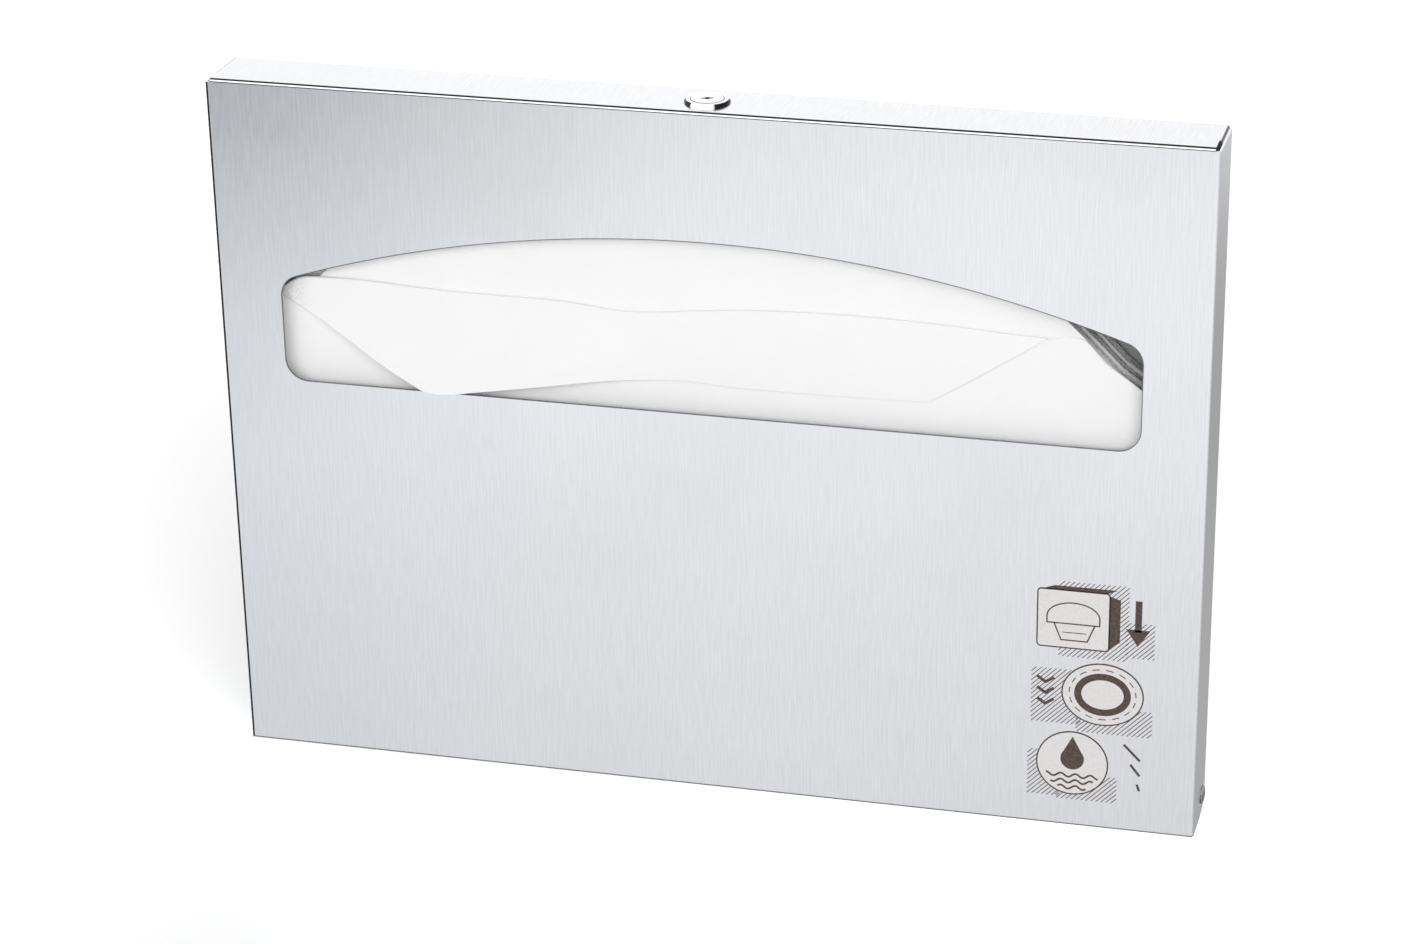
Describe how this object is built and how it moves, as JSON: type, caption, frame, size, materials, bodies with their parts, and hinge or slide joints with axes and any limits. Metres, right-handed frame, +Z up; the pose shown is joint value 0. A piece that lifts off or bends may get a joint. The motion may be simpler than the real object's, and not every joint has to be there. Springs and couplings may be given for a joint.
{
  "type": "toilet seat cover dispenser",
  "caption": "Slim wall dispenser of folded stainless steel with an arched window for half-folded paper seat covers, a tilting front cover and a cam lock on top.",
  "frame": {"origin": "centre of the four wall holes on the wall plane, at the tray's back face", "axes": "+X to the right seen from the front, +Y into the wall, so the front faces -Y, +Z up"},
  "size_m": [0.4206, 0.0345, 0.3025],
  "materials": {
    "cover_steel": "satin, brushed upright",
    "tray_steel": "plain mill finish",
    "lock_chrome": "polished",
    "zinc_steel": "bright zinc plated",
    "rivet_steel": "bright",
    "spacer_nylon": "plain nylon",
    "pack_paper": "soft tissue edges",
    "sheet_paper": "thin soft tissue"
  },
  "bodies": {
    "tray": {"wall_tray": "tray_steel", "catch_bracket": "tray_steel", "hinge_rivet_left": "rivet_steel", "hinge_rivet_right": "rivet_steel", "hinge_spacer_left": "spacer_nylon", "hinge_spacer_right": "spacer_nylon", "seat_cover_pack": "pack_paper", "drawn_sheet": "sheet_paper"},
    "cover": {"front_cover": "cover_steel", "lock_housing": "lock_chrome", "lock_nut": "zinc_steel", "lock_washer": "zinc_steel"},
    "lock_key_plug": {"lock_plug": "lock_chrome", "lock_cam": "zinc_steel", "cam_screw": "zinc_steel", "cam_lock_washer": "zinc_steel"}
  },
  "joints": [
    {"name": "cover_hinge", "type": "hinge", "parent": "tray", "child": "cover", "pos_m": [0, -0.0085, -0.141], "axis": [1, 0, 0], "range_deg": [0, 80]},
    {"name": "lock_turn", "type": "hinge", "parent": "cover", "child": "lock_key_plug", "pos_m": [0, -0.0164, 0.151], "axis": [0, 0, 1], "range_deg": [0, 90]}
  ]
}
